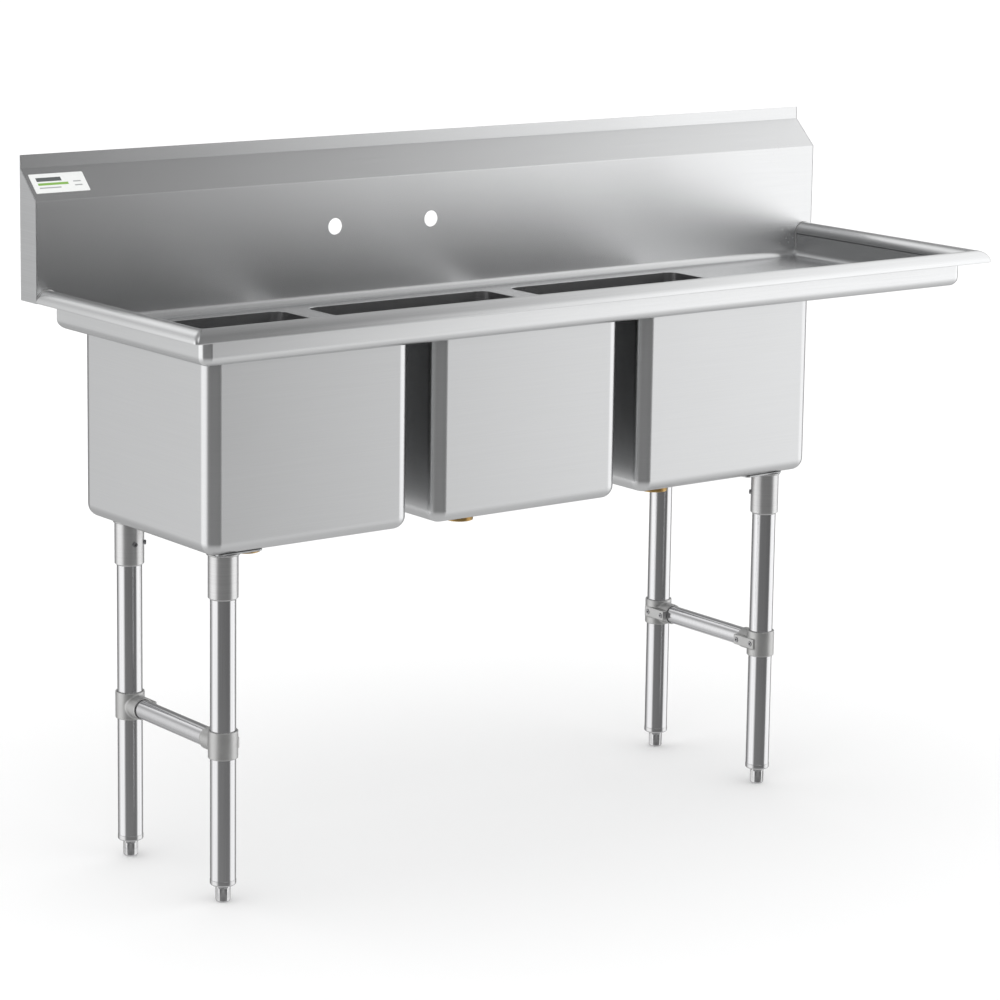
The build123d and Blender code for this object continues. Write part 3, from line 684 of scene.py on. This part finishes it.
# The surroundings that the metal reflects: a grey room with a bright side to the right, another
# behind the left end, a ceiling that brightens to the right and is dark straight overhead, and a
# bright floor. Everything else is lit by an even white dome.
SIDE_STOPS = (  # degrees from -Y towards +X, brightness
    (-180, 0.20), (-165, 0.32), (-157, 0.55), (-147, 0.92), (-130, 1.5), (-90, 1.5), (-74, 0.20),
    (24, 0.14), (31, 0.32), (35, 0.84), (38.5, 1.38), (42, 1.5), (88, 1.6), (100, 0.35),
    (180, 0.25),
)
CEILING_STOPS = (  # sideways part of the direction, brightness
    (-1.0, 0.3), (-0.42, 0.5), (-0.2, 1.3), (0.1, 1.1), (0.42, 0.14), (0.49, 0.20), (0.59, 0.64),
    (0.67, 1.2), (1.0, 1.7),
)
OVERHEAD = 0.35
FLOOR_GLOW = 0.72
DOME = 1.25
# Upward part of the direction, or downward for the floor, from where one gives way to the next
CEILING_FROM = (0.12, 0.6)
OVERHEAD_FROM = (0.8, 0.97)
FLOOR_FROM = (0.15, 0.8)


def stops_ramp(tree, value, low, high, stops):
    """Brightness from a value between low and high, through the stops."""
    share = add_node(tree, "ShaderNodeMapRange", None, Value=value, From_Min=low, From_Max=high)
    ramp = tree.nodes.new("ShaderNodeValToRGB")
    tree.links.new(share.outputs["Result"], ramp.inputs["Fac"])
    marks = ramp.color_ramp.elements
    while len(marks) < len(stops):
        marks.new(0.5)
    for mark, (at, bright) in zip(marks, stops):
        mark.position = (at - low) / (high - low)
        mark.color = (bright, bright, bright, 1.0)
    return ramp.outputs["Color"]


def rising(tree, value, limits):
    """A smooth step from 0 at the first limit to 1 at the second."""
    made = add_node(
        tree, "ShaderNodeMapRange", {"interpolation_type": "SMOOTHSTEP"},
        Value=value, From_Min=limits[0], From_Max=limits[1],
    )
    return made.outputs["Result"]


def grey(value):
    """A neutral colour."""
    return (value, value, value, 1.0)


world = bpy.data.worlds.new("studio")
bpy.context.scene.world = world
world.use_nodes = True
sky = world.node_tree
background = sky.nodes["Background"]
towards = add_node(sky, "ShaderNodeTexCoord").outputs["Generated"]
way = add_node(sky, "ShaderNodeSeparateXYZ", None, Vector=towards).outputs
azimuth = maths(sky, "ARCTAN2", way["X"], maths(sky, "MULTIPLY", way["Y"], -1.0))
sides = stops_ramp(sky, maths(sky, "MULTIPLY", azimuth, 180 / pi), -180, 180, SIDE_STOPS)
ceiling = stops_ramp(sky, way["X"], -1.0, 1.0, CEILING_STOPS)
downward = maths(sky, "MULTIPLY", way["Z"], -1.0)
ceiling = blend_colours(sky, rising(sky, way["Z"], OVERHEAD_FROM), ceiling, grey(OVERHEAD))
room = blend_colours(sky, rising(sky, way["Z"], CEILING_FROM), sides, ceiling)
room = blend_colours(sky, rising(sky, downward, FLOOR_FROM), room, grey(FLOOR_GLOW))
gloss = add_node(sky, "ShaderNodeLightPath").outputs["Is Glossy Ray"]
sky.links.new(blend_colours(sky, gloss, grey(DOME), room), background.inputs["Color"])

bpy.context.scene.view_settings.view_transform = "Standard"
bpy.context.scene.view_settings.look = "None"

# ---------------------------------------------------------------- camera
# Fitted to the sink's corners and edges, at the photograph's viewing angle
CAMERA_PLACE = Vector((-3.4937, -4.4877, 1.7592))
CAMERA_YAW = radians(37.372)
CAMERA_PITCH = radians(9.605)
CAMERA_ROLL = radians(0.821)
CAMERA_LENS = 120.63
CAMERA_SHIFT = (0.0, -0.15)
back = Vector((
    -sin(CAMERA_YAW) * cos(CAMERA_PITCH), -cos(CAMERA_YAW) * cos(CAMERA_PITCH), sin(CAMERA_PITCH)
))
level_right = Vector((cos(CAMERA_YAW), -sin(CAMERA_YAW), 0.0))
level_up = back.cross(level_right)
right = level_right * cos(CAMERA_ROLL) + level_up * sin(CAMERA_ROLL)
up = level_up * cos(CAMERA_ROLL) - level_right * sin(CAMERA_ROLL)
camera = bpy.data.objects.new("camera", bpy.data.cameras.new("camera"))
bpy.context.scene.collection.objects.link(camera)
turned_to = Matrix((right, up, back)).transposed().to_4x4()
camera.matrix_world = Matrix.Translation(CAMERA_PLACE) @ turned_to
camera.data.sensor_width = 36.0
camera.data.lens = CAMERA_LENS
camera.data.shift_x, camera.data.shift_y = CAMERA_SHIFT
camera.data.clip_start, camera.data.clip_end = 0.05, 200.0
bpy.context.scene.camera = camera
